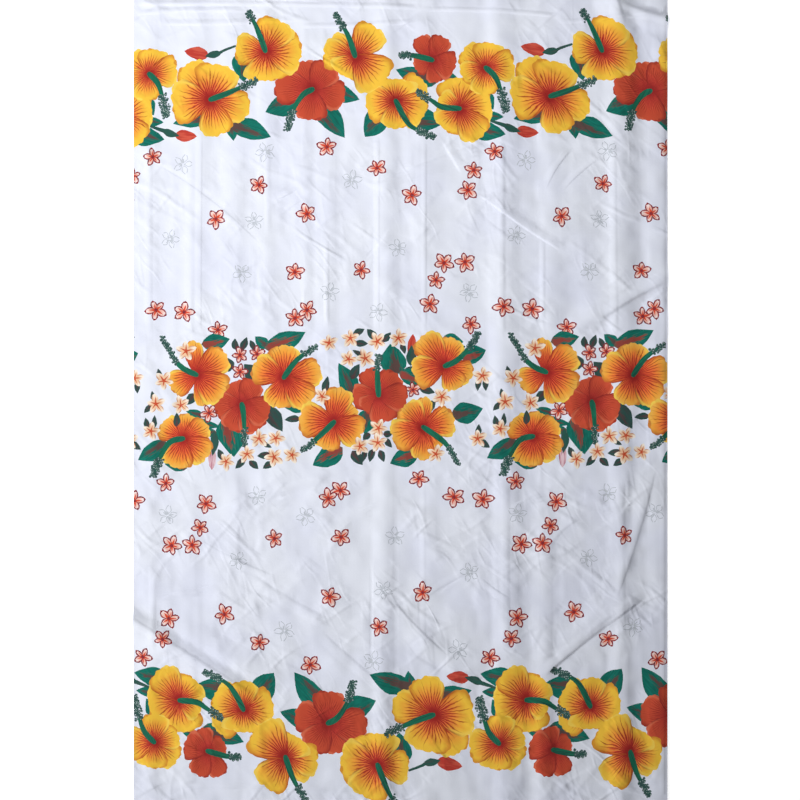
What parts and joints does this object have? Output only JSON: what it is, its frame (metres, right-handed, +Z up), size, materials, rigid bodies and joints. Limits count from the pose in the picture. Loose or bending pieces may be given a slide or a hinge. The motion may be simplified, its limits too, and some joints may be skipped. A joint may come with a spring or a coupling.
{
  "type": "tropical print fabric",
  "caption": "Cut length of printed cotton cloth laid face up, with flower borders along both selvedges, a flower band between them and soft fold ridges.",
  "frame": {"origin": "on the surface that the cloth lies on, under the middle of the cloth", "axes": "+X along the bolt, the picture's right; +Y from selvedge to selvedge, the picture's top; +Z up, out of the printed face"},
  "size_m": [0.9903, 1.5002, 0.0117],
  "materials": {
    "printed_cotton": "plain woven white cotton with a pigment print and a soft low sheen"
  },
  "bodies": {
    "root": {"cloth_panel": "printed_cotton"}
  },
  "joints": []
}
